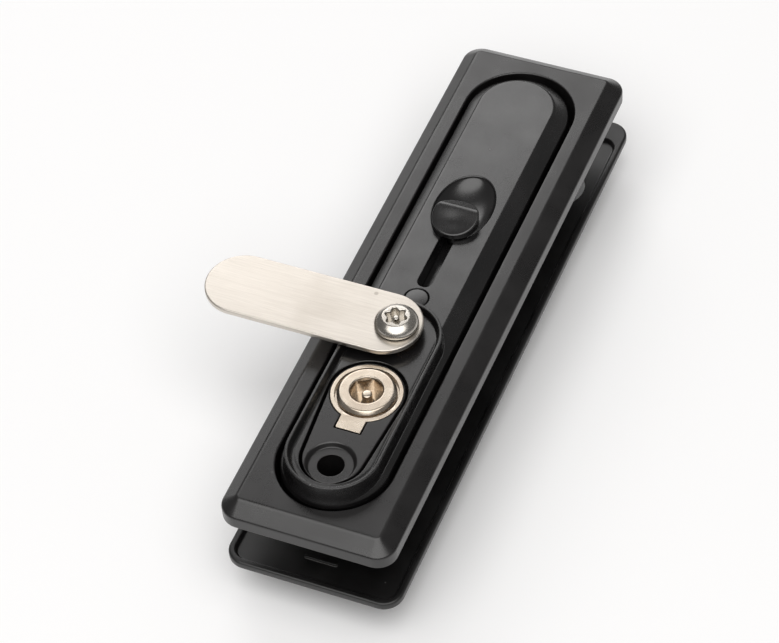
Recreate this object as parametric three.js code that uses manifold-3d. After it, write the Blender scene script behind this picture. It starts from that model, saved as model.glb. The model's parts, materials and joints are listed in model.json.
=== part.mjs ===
// Flush swing-handle lock for a cabinet or vehicle-body door, with a key cylinder
// under a swivelling dust cover and a rear plate that clamps the door panel.
// Millimetres. X is across the lock, +Y runs along it towards the lever's pivot,
// +Z points out of the door. The origin is the centre of the door cut-out, on the
// door's outer face.
import * as THREE from "three";
import { mergeVertices } from "three/addons/utils/BufferGeometryUtils.js";
import Module from "manifold-3d";

const wasm = await Module();
wasm.setup();

// Driving dimensions
const GAP = 0.3;

const FRAME = { width: 40, length: 150, wall: 3.1, chamfer: 2.6, inset: 3.5, corner: 1 };
const FRAME_TOP = FRAME.wall + FRAME.chamfer;
const TUB = { half: 13.1, topY: 54.9, bottomY: -55.4, wall: 1.2, floor: -4, under: -6 };

const LEVER = { half: 8.9, topY: 53.6, bottomY: -55, bevel: 3.3, bevelHeight: 2.9, top: 8.6, under: -3.4 };
const PIN = { y: 53.6, z: 2, r: 1.5, length: 22 };
const LIFT_ANGLE = 18;

const RIM = { half: 10.5, inner: 9.2, draft: 0.6, topY: -21.9, bottomY: -55.9, top: 10.3 };
const LOCK_Y = -37.8;
const HOLE_Y = -58;
const BOSS = { upper: 8.3, lower: 6.75, lowerY: -56.4, top: 8.5, clear: 0.6 };
const CYLINDER = { flange: 8, top: 8.6, flangeUnder: 7.6, body: 6.8, end: -8.6, bore: 5.7, tabHalf: 2.9,
  tabReach: 10.9, clear: 0.15 };
const PLUG = { r: 5.4, head: 6.55, headUnder: 8.2, headEdge: 8.7, face: 9.5, faceR: 5.4, socket: 3.75,
  socketFloor: 5.3, pinR: 1.1, pinTip: 0.7, pinTop: 8.3, pinEnd: 2.3 };
const LOCK_CAM = { z0: -10.6, z1: -9, hub: 5.5, tip: 3, reach: 10.8, square: 2.6 };
const FIXING = { hole: 2.95, sink: 5.5, sinkFloor: 4.9, sinkDepth: 1, post: 5 };

const COVER = { pivotY: -20.2, farX: -36.9, nearX: -2.76, r: 8.5, under: 10.5, top: 11.8, hole: 2.9,
  bush: 4.5 };
const COVER_SCREW = { headR: 4.9, under: 12.1, top: 14.7, shank: 1.6, end: 5.8 };
const BOWL = { y: 19.8, halfX: 6.9, halfY: 10.4, depth: 2.9 };
const SLOT = { half: 1.7, bottomY: -5.5, topY: 16.8 };
const KNOB = { y: 14.8, r: 5.35, under: 8.9, low: 10.2, ridge: 11.7, ridgeY: 2.35, back: 11.2,
  neckHalf: 1.4, neckY: 2.8, end: 1.2 };
const BAR = { half: 2.6, z0: 2.6, z1: 4.4, tipY: -13.4, topY: 22 };
const CHANNEL = { half: 3.1, z0: 2.3, z1: 4.7, wellHalf: 5, wellY0: -5, wellY1: 25 };
const KEEPER = { half: 3.2, y: -27.2, z0: 4.9, z1: 6.3 };
const DOT = { y: -9, r: 2.6, floor: 6.2 };
const BACK_COVER = { half: 7.4, y0: -12.5, y1: 30, z0: -3.2, z1: 0.4 };
const BACK_SCREWS = [{ y: -9.6, end: 1.2 }, { y: 27.8, end: 2.8 }];

const PLATE = { half: 20.3, y0: -74.6, y1: 76.9, r: 4.5, top: -13.3, floor: -14.3, under: -15.3, rim: 1.5 };
const LAND_Y = 70.9;
const HUB = { r: 6.3, bore: 5.3, end: -15.5 };
const HUB_WINDOW = { half: 16.3, r: 7 };
const SEAL = { inner: 5.6, outer: 6.9, depth: 1.1, r: 6.25, section: 0.45 };
const SPINDLE = { r: 4, flange: 7, flangeTop: -1.6, knuckle: 4.2, knuckleHalf: 7, grooveR: 3.3, square: 2.85,
  shoulder: -17.1, end: -19.1 };
const KNUCKLE_WELL = { back: 7.7, front: 8.8, top: 1 };
const CAM = { z0: -19.4, z1: -17.4, reach: 24, hub: 7.5, tip: 5 };
const POSTS = [[-9.6, -12], [9.6, -12], [-9.6, 18], [9.6, 18]];
const POST = { r: 3, bore: 1.9, end: -14 };
const POST_HOLE = 2.1;
const RIB = { half: 3.85, y0: -67.9, y1: -67.1, height: 0.5 };
const CLAMP_SCREW = { headR: 3.5, domeR: 2.6, height: 2, shank: 1.6, recessHalf: 1.7, recessWide: 0.35,
  recess: 1.2, bite: 1.5 };
const CAM_SCREW = { flats: 4.2, height: 3, shank: 1.5, washer: 5.5, washerThick: 1.2, end: -13.5 };
const CAM_EYE = 2.6;
const CLIP = { outer: 5.8, thick: 0.6, mouth: 1.5 };
const NUT = { r: 9.2, thick: 1.9 };
const CATCH = { half: 3.2, legY: -21.5, thick: 1.6, footY: -25.4, footZ: -12.6, plateY: -14, top: -1.7,
  screwY: -17 };
const CATCH_SLOT = { half: 4, y0: -28.6, y1: -20.6 };

// Colours of the real surfaces
const BLACK = { color: 0x2b2b2d, roughness: 0.42, metalness: 0.35 };
const DARK = { color: 0x1d1d1f, roughness: 0.3, metalness: 0.3 };
const NICKEL = { color: 0xc9c1b4, roughness: 0.28, metalness: 1 };
const STAINLESS = { color: 0xd8d1c9, roughness: 0.38, metalness: 1 };
const STEEL = { color: 0x9a9a98, roughness: 0.4, metalness: 1 };
const BRONZE = { color: 0xa07a45, roughness: 0.45, metalness: 1 };
const PLASTIC = { color: 0x18181a, roughness: 0.6, metalness: 0 };
const RUBBER = { color: 0x101011, roughness: 0.85, metalness: 0 };

// Solids: a geometry becomes a manifold, and a manifold becomes a named mesh

function solid(geometry) {
  const bare = geometry.index ? geometry.toNonIndexed() : geometry.clone();
  bare.deleteAttribute("normal");
  bare.deleteAttribute("uv");
  const merged = mergeVertices(bare, 1e-4);
  return new wasm.Manifold(new wasm.Mesh({
    numProp: 3,
    vertProperties: new Float32Array(merged.attributes.position.array),
    triVerts: new Uint32Array(merged.index.array),
  }));
}

function addPiece(parent, name, shape, finish) {
  const data = shape.getMesh();
  const geometry = new THREE.BufferGeometry();
  geometry.setAttribute("position", new THREE.BufferAttribute(data.vertProperties, 3));
  geometry.setIndex(new THREE.BufferAttribute(data.triVerts, 1));
  geometry.computeVertexNormals();
  const mesh = new THREE.Mesh(geometry, new THREE.MeshStandardMaterial(finish));
  mesh.name = name;
  parent.add(mesh);
}

// Basic solids, all placed in the lock's own frame

function box(x0, x1, y0, y1, z0, z1) {
  const geometry = new THREE.BoxGeometry(x1 - x0, y1 - y0, z1 - z0);
  return solid(geometry.translate((x0 + x1) / 2, (y0 + y1) / 2, (z0 + z1) / 2));
}

// Upright turned solid from [radius, height] points, which run from the axis to the axis
function turned(points, x, y, segments = 32) {
  const profile = points.map(([r, z]) => new THREE.Vector2(r, z));
  const geometry = new THREE.LatheGeometry(profile, segments).rotateX(Math.PI / 2);
  return solid(geometry.translate(x, y, 0));
}

function disc(r, z0, z1, x, y, segments = 32) {
  return turned([[0, z0], [r, z0], [r, z1], [0, z1]], x, y, segments);
}

function ring(inner, outer, z0, z1, x, y, segments = 32) {
  const loop = [[inner, z0], [outer, z0], [outer, z1], [inner, z1], [inner, z0]];
  return turned(loop, x, y, segments);
}

function extruded(shape, z0, z1, curveSegments = 12) {
  const options = { depth: z1 - z0, bevelEnabled: false, curveSegments };
  return solid(new THREE.ExtrudeGeometry(shape, options).translate(0, 0, z0));
}

// Extrusion whose upper edge is chamfered: the given outline is the top face
function chamfered(shape, z0, z1, inset, height, curveSegments = 12) {
  const options = {
    depth: z1 - z0 - height,
    bevelEnabled: true,
    bevelSegments: 1,
    bevelSize: inset,
    bevelThickness: height,
    curveSegments,
  };
  const body = solid(new THREE.ExtrudeGeometry(shape, options).translate(0, 0, z0));
  const reach = 200;
  return body.subtract(box(-reach, reach, -reach, reach, z0 - height - 1, z0));
}

// Outlines

function stadium(half, y0, y1) {
  const shape = new THREE.Shape();
  shape.absarc(0, y1, half, 0, Math.PI, false);
  shape.absarc(0, y0, half, Math.PI, 2 * Math.PI, false);
  shape.closePath();
  return shape;
}

function roundedRect(x0, x1, y0, y1, r) {
  const shape = new THREE.Shape();
  shape.absarc(x1 - r, y1 - r, r, 0, Math.PI / 2, false);
  shape.absarc(x0 + r, y1 - r, r, Math.PI / 2, Math.PI, false);
  shape.absarc(x0 + r, y0 + r, r, Math.PI, 1.5 * Math.PI, false);
  shape.absarc(x1 - r, y0 + r, r, 1.5 * Math.PI, 2 * Math.PI, false);
  shape.closePath();
  return shape;
}

// Teardrop round two circles on the centreline, with the straight sides tangent to both
function teardrop(upperY, upperR, lowerY, lowerR) {
  const lean = Math.asin((upperR - lowerR) / (upperY - lowerY));
  const shape = new THREE.Shape();
  shape.absarc(0, upperY, upperR, -lean, Math.PI + lean, false);
  shape.absarc(0, lowerY, lowerR, Math.PI + lean, 2 * Math.PI - lean, false);
  shape.closePath();
  return shape;
}

function bossOutline(extra) {
  return teardrop(LOCK_Y, BOSS.upper + extra, BOSS.lowerY, BOSS.lower + extra);
}

function alongX(r, x0, x1, y, z, segments = 24) {
  const geometry = new THREE.CylinderGeometry(r, r, x1 - x0, segments).rotateZ(Math.PI / 2);
  return solid(geometry.translate((x0 + x1) / 2, y, z));
}

function hexagon(r, z0, z1, x, y) {
  const geometry = new THREE.CylinderGeometry(r, r, z1 - z0, 6).rotateX(Math.PI / 2);
  return solid(geometry.translate(x, y, (z0 + z1) / 2));
}

// Housing: the chamfered frame, the tub behind it and the lock boss on the tub's floor

function frontFrame() {
  const halfX = FRAME.width / 2 - FRAME.inset;
  const halfY = FRAME.length / 2 - FRAME.inset;
  const outline = roundedRect(-halfX, halfX, -halfY, halfY, FRAME.corner);
  const bezel = chamfered(outline, 0, FRAME_TOP, FRAME.inset, FRAME.chamfer, 6);
  const tub = extruded(stadium(TUB.half + TUB.wall, TUB.bottomY, TUB.topY), TUB.under, 1, 16);
  const hollow = extruded(stadium(TUB.half, TUB.bottomY, TUB.topY), TUB.floor, FRAME_TOP + 1, 20);
  const seat = ring(SEAL.inner, SEAL.outer, TUB.floor - SEAL.depth, TUB.floor + 1, 0, PIN.y);
  let housing = bezel.add(tub).subtract(hollow).subtract(seat);
  housing = housing.add(lockBoss());
  housing = housing.add(disc(HUB.r, HUB.end, TUB.under + 0.5, 0, PIN.y));
  housing = housing.subtract(disc(HUB.bore, HUB.end - 1, TUB.floor + 1, 0, PIN.y));
  for (const [x, y] of POSTS) {
    housing = housing.add(disc(POST.r, POST.end, TUB.under + 0.5, x, y, 20));
    housing = housing.subtract(disc(POST.bore, POST.end - 1, TUB.under, x, y, 16));
  }
  housing = housing.add(disc(FIXING.post, POST.end, TUB.under + 0.5, 0, HOLE_Y));
  housing = housing.subtract(disc(FIXING.hole, POST.end - 1, BOSS.top + 1, 0, HOLE_Y));
  const { half, y0, y1 } = CATCH_SLOT;
  housing = housing.subtract(box(-half, half, y0, y1, TUB.under - 1, TUB.floor + 1));
  return housing.subtract(disc(CYLINDER.body + GAP, TUB.under - 1, BOSS.top + 1, 0, LOCK_Y, 36));
}

function lockBoss() {
  const tower = extruded(bossOutline(0), TUB.floor - 0.5, BOSS.top, 20);
  const seatFloor = CYLINDER.flangeUnder - GAP;
  const flangeSeat = disc(CYLINDER.flange + CYLINDER.clear, seatFloor, BOSS.top + 1, 0, LOCK_Y, 36);
  const tabX = CYLINDER.tabHalf + GAP;
  const tabSeat = box(-tabX, tabX, LOCK_Y - CYLINDER.tabReach - GAP, LOCK_Y, seatFloor, BOSS.top + 1);
  const floorZ = BOSS.top - FIXING.sinkDepth;
  const sink = turned([[0, floorZ], [FIXING.sinkFloor, floorZ], [FIXING.sink, BOSS.top + 0.01],
    [FIXING.sink, BOSS.top + 1], [0, BOSS.top + 1]], 0, HOLE_Y);
  return tower.subtract(flangeSeat).subtract(tabSeat).subtract(sink);
}

// Lip on the boss that the slide's bar passes under
function keeperLip() {
  return box(-KEEPER.half, KEEPER.half, LOCK_Y + BOSS.upper + GAP, KEEPER.y, KEEPER.z0, KEEPER.z1);
}

// Rear clamp plate: a pressed pan with a raised rim, a land at its upper end and the window
// that the hub passes through

function rearPlate() {
  const { half, y0, y1, r, rim } = PLATE;
  let plate = extruded(roundedRect(-half, half, y0, y1, r), PLATE.under, PLATE.top, 8);
  const pan = roundedRect(-half + rim, half - rim, y0 + rim, LAND_Y, r - rim);
  plate = plate.subtract(extruded(pan, PLATE.floor, PLATE.top + 1, 8));
  plate = plate.add(box(-RIB.half, RIB.half, RIB.y0, RIB.y1, PLATE.floor - 0.2, PLATE.floor + RIB.height));
  const window = stadium(HUB_WINDOW.r, -HUB_WINDOW.half + HUB_WINDOW.r, HUB_WINDOW.half - HUB_WINDOW.r);
  const cut = extruded(window, PLATE.under - 1, PLATE.top + 1).rotate([0, 0, 90]).translate([0, PIN.y, 0]);
  plate = plate.subtract(cut);
  for (const [x, y] of POSTS) {
    plate = plate.subtract(disc(POST_HOLE, PLATE.under - 1, PLATE.top + 1, x, y, 20));
  }
  return plate.subtract(disc(FIXING.hole, PLATE.under - 1, PLATE.top + 1, 0, HOLE_Y));
}

function clampScrew() {
  const { headR, domeR, height, shank, recessHalf, recessWide, recess, bite } = CLAMP_SCREW;
  const seat = PLATE.under - GAP;
  const tip = TUB.under - bite;
  const dome = [[0, seat - height], [domeR, seat - height], [headR, seat - height / 2], [headR, seat],
    [shank, seat], [shank, tip], [0, tip]];
  const low = seat - height - 1;
  const high = seat - height + recess;
  return turned(dome, 0, 0, 20)
    .subtract(box(-recessHalf, recessHalf, -recessWide, recessWide, low, high))
    .subtract(box(-recessWide, recessWide, -recessHalf, recessHalf, low, high));
}

// Lever: a solid handle with a bevelled face, a raised rim round the lock boss, the thumb
// slide's bowl, slot and channel, and a knuckle pocket at its pivot end

function leverBlank() {
  const face = stadium(LEVER.half, LEVER.bottomY, LEVER.topY);
  return chamfered(face, LEVER.under, LEVER.top, LEVER.bevel, LEVER.bevelHeight, 20);
}

function leverRim() {
  const outer = extruded(stadium(RIM.half, RIM.bottomY, RIM.topY), 5.8, RIM.top, 20);
  const inner = stadium(RIM.inner, RIM.bottomY, RIM.topY);
  const options = { depth: 4, bevelEnabled: true, bevelSegments: 1, bevelSize: RIM.draft,
    bevelThickness: RIM.top - LEVER.top, curveSegments: 20 };
  const recess = solid(new THREE.ExtrudeGeometry(inner, options).translate(0, 0, RIM.top));
  return outer.subtract(recess);
}

// Ellipsoid whose cut with the lever's face is the bowl's oval
function bowlScoop() {
  const rise = 0.6;
  const deep = BOWL.depth + rise;
  const spread = 1 / Math.sqrt(1 - (rise / deep) ** 2);
  const geometry = new THREE.SphereGeometry(1, 32, 16);
  geometry.scale(BOWL.halfX * spread, BOWL.halfY * spread, deep);
  return solid(geometry.translate(0, BOWL.y, LEVER.top + rise));
}

function knucklePocket() {
  const side = SPINDLE.knuckleHalf + 0.4;
  const barrel = alongX(SPINDLE.knuckle + 0.4, -side, side, PIN.y, PIN.z);
  const { back, front, top } = KNUCKLE_WELL;
  const well = box(-side, side, PIN.y - back, PIN.y + front, LEVER.under - 1, top);
  return barrel.add(well);
}

// Wedge that keeps the pivot end clear of the tub's floor when the lever lifts
function heelRelief() {
  const geometry = new THREE.BoxGeometry(40, 40, 20).translate(0, 20, -10);
  geometry.rotateX(THREE.MathUtils.degToRad(LIFT_ANGLE + 1));
  return solid(geometry.translate(0, PIN.y - 1.5, LEVER.under));
}

function slideSpace() {
  const { half, z0, z1, wellHalf, wellY0, wellY1 } = CHANNEL;
  const opening = stadium(SLOT.half, SLOT.bottomY + SLOT.half, SLOT.topY);
  const slot = extruded(opening, z1 - 0.5, LEVER.top + 3);
  const channel = box(-half, half, KEEPER.y, wellY1, z0, z1);
  const well = box(-wellHalf, wellHalf, wellY0, wellY1, BACK_COVER.z1, z1);
  const side = BACK_COVER.half + GAP;
  const low = LEVER.under - 1;
  const rebate = box(-side, side, BACK_COVER.y0 - GAP, BACK_COVER.y1 + GAP, low, BACK_COVER.z1 + GAP);
  return slot.add(channel).add(well).add(rebate);
}

function keeperRelief() {
  const side = KEEPER.half + 0.6;
  return box(-side, side, LOCK_Y, KEEPER.y + 0.7, LEVER.under - 1, KEEPER.z1 + 0.5);
}

function catchSeat() {
  const side = CATCH.half + GAP;
  return box(-side, side, KEEPER.y - 1, CATCH.plateY + GAP, LEVER.under - 1, CATCH.top + GAP);
}

function handleLever() {
  let lever = leverBlank().add(leverRim());
  lever = lever.subtract(extruded(bossOutline(BOSS.clear), LEVER.under - 1, RIM.top + 1, 20));
  lever = lever.subtract(bowlScoop()).subtract(slideSpace()).subtract(knucklePocket());
  lever = lever.subtract(heelRelief()).subtract(keeperRelief()).subtract(catchSeat());
  lever = lever.subtract(alongX(PIN.r + GAP, -PIN.length / 2 - GAP, LEVER.half + 6, PIN.y, PIN.z, 20));
  lever = lever.subtract(disc(COVER_SCREW.shank + GAP, COVER_SCREW.end - GAP, RIM.top, 0, COVER.pivotY, 20));
  lever = lever.subtract(disc(DOT.r + GAP, DOT.floor, LEVER.top + 1, 0, DOT.y, 28));
  for (const screw of BACK_SCREWS) {
    lever = lever.subtract(disc(1.3, BACK_COVER.z1, screw.end + GAP, 0, screw.y, 14));
  }
  return lever.subtract(disc(1.4, CATCH.top, CHANNEL.z0 - 0.5, 0, CATCH.screwY, 14));
}

// Small parts that ride on the lever

function liftPin() {
  return alongX(PIN.r, -PIN.length / 2, PIN.length / 2, 0, 0, 20);
}

function backCover() {
  const { half, y0, y1, z0, z1 } = BACK_COVER;
  let plate = box(-half, half, y0, y1, z0, z1);
  for (const screw of BACK_SCREWS) {
    plate = plate.subtract(disc(1.5, z0 - 1, z1 + 1, 0, screw.y, 16));
    plate = plate.subtract(disc(2.7, z0 - 1, z0 + 1.3, 0, screw.y, 20));
  }
  return plate;
}

// Flat-head screw with a cross recess: its head's underside is at height z
function smallScrew(headR, z, shankR, end) {
  const headHeight = 0.9;
  const recessHalf = 1.3;
  const recessWide = 0.3;
  const face = z - headHeight;
  const profile = [[0, face], [headR, face], [headR, z], [shankR, z], [shankR, end], [0, end]];
  return turned(profile, 0, 0, 20)
    .subtract(box(-recessHalf, recessHalf, -recessWide, recessWide, face - 1, face + 0.4))
    .subtract(box(-recessWide, recessWide, -recessHalf, recessHalf, face - 1, face + 0.4));
}

// Bent strip that hangs through the tub's floor, for the lock's cam to swing over
function lockCatch() {
  const { half, legY, thick, footY, footZ, plateY, top, screwY } = CATCH;
  const plate = box(-half, half, legY - thick, plateY, top - thick, top);
  const leg = box(-half, half, legY - thick, legY, footZ, top);
  const foot = box(-half, half, footY, legY, footZ, footZ + thick);
  const hole = disc(1.4, top - thick - 1, top + 1, 0, screwY, 16);
  const seat = disc(2.5, top - thick - 1, top - thick + 0.9, 0, screwY, 20);
  return plate.add(leg).add(foot).subtract(hole).subtract(seat);
}

function facePlug() {
  return turned([[0, DOT.floor + GAP], [DOT.r, DOT.floor + GAP], [DOT.r, LEVER.top - 0.15],
    [DOT.r - 0.2, LEVER.top], [0, LEVER.top]], 0, 0, 28);
}

// Thumb slide: a round knob with a sloping face that rises to a straight ridge

function thumbSlide() {
  const { r, under, low, ridge, ridgeY, back, neckHalf, neckY, end } = KNOB;
  const profile = new THREE.Shape();
  profile.moveTo(-r, under);
  profile.lineTo(r, under);
  profile.lineTo(r, back);
  profile.lineTo(ridgeY + 0.5, ridge - 0.05);
  profile.lineTo(ridgeY - 0.5, ridge);
  profile.lineTo(-r, low);
  profile.closePath();
  const options = { depth: 2 * r, bevelEnabled: false };
  const prism = new THREE.ExtrudeGeometry(profile, options).translate(0, 0, -r);
  prism.applyMatrix4(new THREE.Matrix4().makeBasis(
    new THREE.Vector3(0, 1, 0), new THREE.Vector3(0, 0, 1), new THREE.Vector3(1, 0, 0)));
  const knob = solid(prism).intersect(disc(r, under - 1, ridge + 1, 0, 0, 40));
  const neck = extruded(stadium(neckHalf, -neckY + neckHalf, neckY - neckHalf), end, under + 0.3, 8);
  const groove = ring(neckHalf + 0.1, 6, 1.6, 2.4, 0, 0, 16);
  return knob.add(neck).subtract(groove.subtract(box(-1.1, 1.1, -6, 6, 1, 3)));
}

function slideBar() {
  const bar = box(-BAR.half, BAR.half, BAR.tipY, BAR.topY, BAR.z0, BAR.z1);
  const eye = stadium(KNOB.neckHalf + GAP, -KNOB.neckY + KNOB.neckHalf, KNOB.neckY - KNOB.neckHalf);
  return bar.subtract(extruded(eye, BAR.z0 - 1, BAR.z1 + 1, 8).translate([0, KNOB.y, 0]));
}

function slideClip() {
  const plate = disc(3.6, 1.7, 2.3, 0, 0, 24);
  const eye = stadium(KNOB.neckHalf + GAP, -KNOB.neckY + KNOB.neckHalf, KNOB.neckY - KNOB.neckHalf);
  return plate.subtract(extruded(eye, 1, 3, 8));
}

// Pivot: the spindle with its knuckle, and the pieces that hold it in the hub

function spindle() {
  const { r, flange, flangeTop, knuckle, knuckleHalf, grooveR, square, shoulder, end } = SPINDLE;
  const ringZ = HUB.end - 0.3;
  let body = turned([[0, shoulder], [r, shoulder], [r, TUB.floor + GAP], [flange, TUB.floor + GAP],
    [flange, flangeTop], [0, flangeTop]], 0, 0);
  body = body.add(alongX(knuckle, -knuckleHalf, knuckleHalf, 0, PIN.z));
  body = body.subtract(ring(grooveR, 6, ringZ - 1, ringZ, 0, 0, 24));
  body = body.add(box(-square, square, -square, square, end, ringZ - 0.8));
  body = body.subtract(alongX(PIN.r + GAP, -10, 10, 0, PIN.z, 20));
  return body.subtract(disc(1.8, end - 1, -13, 0, 0, 16));
}

function hubBushing() {
  return ring(SPINDLE.r + GAP, HUB.bore - GAP, HUB.end, TUB.floor - GAP, 0, 0);
}

function spindleOring() {
  const { r, section } = SEAL;
  const loop = [];
  for (let i = 0; i <= 8; i += 1) {
    const angle = (i % 8) * Math.PI / 4;
    loop.push([r + section * Math.cos(angle), TUB.floor - section + section * Math.sin(angle)]);
  }
  return turned(loop, 0, 0, 28);
}

function spindleClip() {
  const top = HUB.end - GAP - 0.2;
  const mouth = box(-CLIP.mouth, CLIP.mouth, 0, CLIP.outer + 3, top - 10, top + 10);
  return ring(SPINDLE.grooveR + GAP, CLIP.outer, top - CLIP.thick, top, 0, 0, 24).subtract(mouth);
}

function armOutline(hub, tip, reach) {
  return teardrop(0, hub, -reach, tip);
}

function driveCam() {
  const side = SPINDLE.square + GAP;
  const arm = extruded(armOutline(CAM.hub, CAM.tip, CAM.reach), CAM.z0, CAM.z1, 10);
  const eye = disc(CAM_EYE, CAM.z0 - 1, CAM.z1 + 1, 0, -CAM.reach, 20);
  return arm.subtract(box(-side, side, -side, side, CAM.z0 - 1, CAM.z1 + 1)).subtract(eye);
}

function camWasher() {
  const top = CAM.z0 - GAP;
  return ring(CAM_SCREW.shank + GAP, CAM_SCREW.washer, top - CAM_SCREW.washerThick, top, 0, 0, 24);
}

function camScrew() {
  const { flats, height, shank, washerThick, end } = CAM_SCREW;
  const headZ = CAM.z0 - 2 * GAP - washerThick;
  return hexagon(flats, headZ - height, headZ, 0, 0).add(disc(shank, headZ - 0.5, end, 0, 0, 16));
}

// Key cylinder: a flanged body with a tab, the turning plug with a six-sided socket and a
// centre pin, and a cam on the plug's tail

function cylinderBody() {
  const { flange, top, flangeUnder, body, end, bore, tabHalf, tabReach } = CYLINDER;
  let shell = disc(flange, flangeUnder, top, 0, 0, 40).add(disc(body, end, flangeUnder + 0.2, 0, 0, 36));
  shell = shell.add(box(-tabHalf, tabHalf, -tabReach, 0, flangeUnder, top));
  shell = shell.subtract(disc(bore, end - 1, top + 1, 0, 0, 32));
  return shell.subtract(disc(PLUG.head + 0.45, PLUG.headUnder - GAP, top + 1, 0, 0, 36));
}

function cylinderNut() {
  const top = TUB.under - GAP;
  const bore = disc(CYLINDER.body + GAP, top - NUT.thick - 1, top + 1, 0, 0, 32);
  return hexagon(NUT.r, top - NUT.thick, top, 0, 0).subtract(bore);
}

function keyPlug() {
  const { r, head, headUnder, headEdge, face, faceR, socket, socketFloor, pinR } = PLUG;
  const { square, z0 } = LOCK_CAM;
  let plug = turned([[0, CYLINDER.end + 0.1], [r, CYLINDER.end + 0.1], [r, headUnder], [head, headUnder],
    [head, headEdge], [faceR, face], [0, face]], 0, 0, 36);
  plug = plug.add(box(-square, square, -square, square, z0 + GAP, CYLINDER.end + 0.5));
  plug = plug.subtract(hexagon(socket, socketFloor, face + 1, 0, 0));
  plug = plug.subtract(disc(pinR + GAP, 2, face, 0, 0, 20));
  return plug.subtract(disc(1.5, z0 - 1, -5, 0, 0, 14));
}

function centrePin() {
  const { pinR, pinTop, pinEnd, pinTip } = PLUG;
  const profile = [[0, pinEnd], [pinR, pinEnd], [pinR, pinTop - 0.3], [pinTip, pinTop], [0, pinTop]];
  return turned(profile, 0, 0, 20);
}

function lockCam() {
  const { z0, z1, hub, tip, reach, square } = LOCK_CAM;
  const side = square + GAP;
  const arm = extruded(armOutline(hub, tip, reach), z0, z1, 10);
  return arm.subtract(box(-side, side, -side, side, z0 - 1, z1 + 1)).rotate([0, 0, -90]);
}

// Dust cover and its pivot, lying open along -X

function dustCover() {
  const outline = new THREE.Shape();
  outline.absarc(COVER.nearX, 0, COVER.r, -Math.PI / 2, Math.PI / 2, false);
  outline.absarc(COVER.farX, 0, COVER.r, Math.PI / 2, 1.5 * Math.PI, false);
  outline.closePath();
  return chamfered(outline, COVER.under, COVER.top, 0.01, 0.2, 20)
    .subtract(disc(COVER.hole, COVER.under - 1, COVER.top + 1, 0, 0, 28));
}

function pivotBush() {
  const seat = LEVER.top + GAP;
  const inner = COVER_SCREW.shank + GAP;
  const outer = COVER.hole - GAP;
  const shoulder = COVER.under - GAP;
  return turned([[inner, seat], [COVER.bush, seat], [COVER.bush, shoulder], [outer, shoulder],
    [outer, COVER.top], [inner, COVER.top], [inner, seat]], 0, 0, 28);
}

// Button-head screw with a six-lobed recess round a security pin
function coverScrew() {
  const { headR, under, top, shank, end } = COVER_SCREW;
  const dome = turned([[0, end], [shank, end], [shank, under], [headR, under], [headR, under + 0.3],
    [headR * 0.9, under + 1.2], [headR * 0.68, under + 2], [headR * 0.4, top], [0, top]], 0, 0, 36);
  const lobes = new THREE.Shape();
  const steps = 36;
  for (let i = 0; i < steps; i += 1) {
    const angle = i / steps * 2 * Math.PI;
    const r = 2.1 + 0.35 * Math.cos(6 * angle);
    lobes[i ? "lineTo" : "moveTo"](r * Math.cos(angle), r * Math.sin(angle));
  }
  const recess = extruded(lobes, top - 1.5, top + 1).subtract(disc(0.6, top - 2, top - 0.25, 0, 0, 12));
  return dome.subtract(recess);
}

// Assembly

function groupAt(parent, x, y, z) {
  const child = new THREE.Group();
  child.position.set(x, y, z);
  parent.add(child);
  return child;
}

const group = new THREE.Group();

addPiece(group, "front_frame", frontFrame(), BLACK);
addPiece(group, "keeper_lip", keeperLip(), BLACK);
addPiece(group, "rear_clamp_plate", rearPlate(), BLACK);
POSTS.forEach(([x, y], index) => {
  addPiece(groupAt(group, x, y, 0), `clamp_screw_${index + 1}`, clampScrew(), STEEL);
});

const pivot = groupAt(group, 0, PIN.y, 0);
addPiece(pivot, "spindle", spindle(), STEEL);
addPiece(pivot, "hub_bushing", hubBushing(), BRONZE);
addPiece(pivot, "spindle_o_ring", spindleOring(), RUBBER);
addPiece(pivot, "spindle_retaining_ring", spindleClip(), STEEL);
addPiece(pivot, "drive_cam", driveCam(), STEEL);
addPiece(pivot, "drive_cam_washer", camWasher(), STEEL);
addPiece(pivot, "drive_cam_screw", camScrew(), STEEL);

const lock = groupAt(group, 0, LOCK_Y, 0);
addPiece(lock, "key_cylinder_body", cylinderBody(), NICKEL);
addPiece(lock, "key_cylinder_nut", cylinderNut(), STEEL);
addPiece(lock, "key_plug", keyPlug(), NICKEL);
addPiece(lock, "key_centre_pin", centrePin(), STEEL);
addPiece(lock, "lock_cam", lockCam(), STEEL);
addPiece(lock, "lock_cam_screw", smallScrew(3.6, LOCK_CAM.z0 - GAP, 1.2, -5.5), STEEL);

addPiece(group, "handle_lever", handleLever(), DARK);
addPiece(groupAt(group, 0, PIN.y, PIN.z), "lift_hinge_pin", liftPin(), STEEL);
addPiece(group, "handle_back_cover", backCover(), PLASTIC);
BACK_SCREWS.forEach(({ y, end }, index) => {
  const screw = smallScrew(2.4, BACK_COVER.z0 + 1, 1, end);
  addPiece(groupAt(group, 0, y, 0), `back_cover_screw_${index + 1}`, screw, STEEL);
});
addPiece(group, "lock_catch", lockCatch(), STEEL);
const catchScrew = smallScrew(2.2, CATCH.top - CATCH.thick + 0.85, 1.1, CHANNEL.z0 - 0.8);
addPiece(groupAt(group, 0, CATCH.screwY, 0), "lock_catch_screw", catchScrew, STEEL);
addPiece(groupAt(group, 0, DOT.y, 0), "face_plug", facePlug(), DARK);

const knob = groupAt(group, 0, KNOB.y, 0);
addPiece(knob, "thumb_slide", thumbSlide(), DARK);
addPiece(knob, "slide_clip", slideClip(), STEEL);
addPiece(group, "slide_bar", slideBar(), BLACK);

const swivel = groupAt(group, 0, COVER.pivotY, 0);
addPiece(swivel, "dust_cover", dustCover(), STAINLESS);
addPiece(swivel, "cover_pivot_bush", pivotBush(), BRONZE);
addPiece(swivel, "cover_pivot_screw", coverScrew(), NICKEL);

export default group;
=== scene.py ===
import json
import math

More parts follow.
